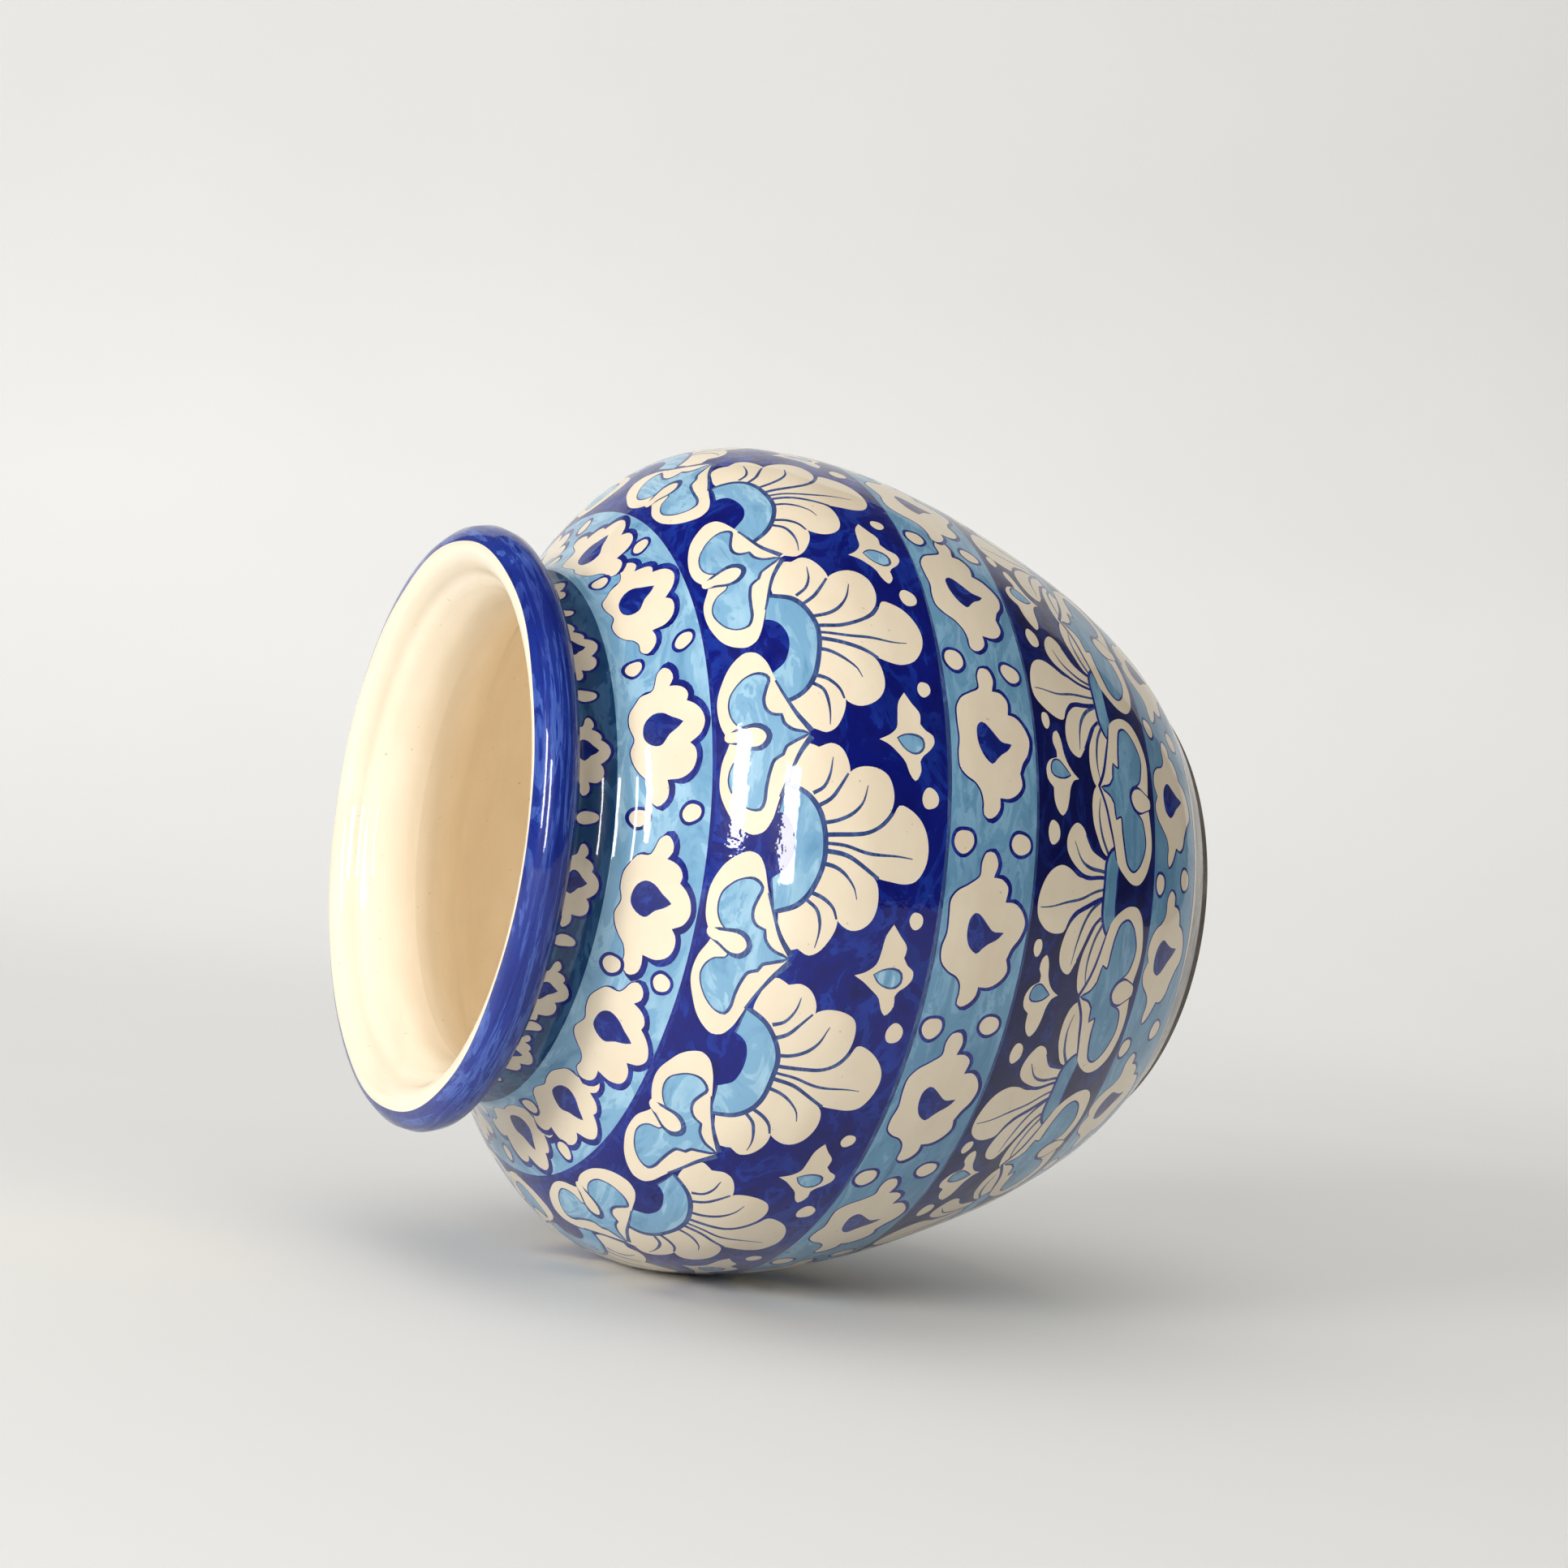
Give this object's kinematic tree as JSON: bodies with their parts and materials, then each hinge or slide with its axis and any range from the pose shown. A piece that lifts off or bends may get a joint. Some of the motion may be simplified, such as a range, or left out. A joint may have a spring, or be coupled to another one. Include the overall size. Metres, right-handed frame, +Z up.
{
  "type": "talavera pottery vase",
  "caption": "Round-bellied glazed earthenware vase with a short grooved neck, rolled flared lip and low foot ring, hand painted in cobalt and sky blue on cream.",
  "frame": {"origin": "centre of the flat face of the foot ring that the vase stands on", "axes": "+Z up along the axis of the pot, from the foot to the mouth; +X and +Y level"},
  "size_m": [0.2, 0.2, 0.1804],
  "materials": {
    "painted_glaze": "glossy clear glaze over cobalt, sky-blue and cream hand painting",
    "cobalt_glaze": "glossy streaky cobalt brushwork under clear glaze",
    "cream_glaze": "glossy warm cream tin glaze",
    "bare_clay": "matte unglazed fired clay"
  },
  "bodies": {
    "root": {"foot_ring": "bare_clay", "base_floor": "cream_glaze", "lower_wall": "painted_glaze", "belly_wall": "painted_glaze", "shoulder_wall": "painted_glaze", "neck_collar": "painted_glaze", "lip_roll": "cobalt_glaze"}
  },
  "joints": []
}
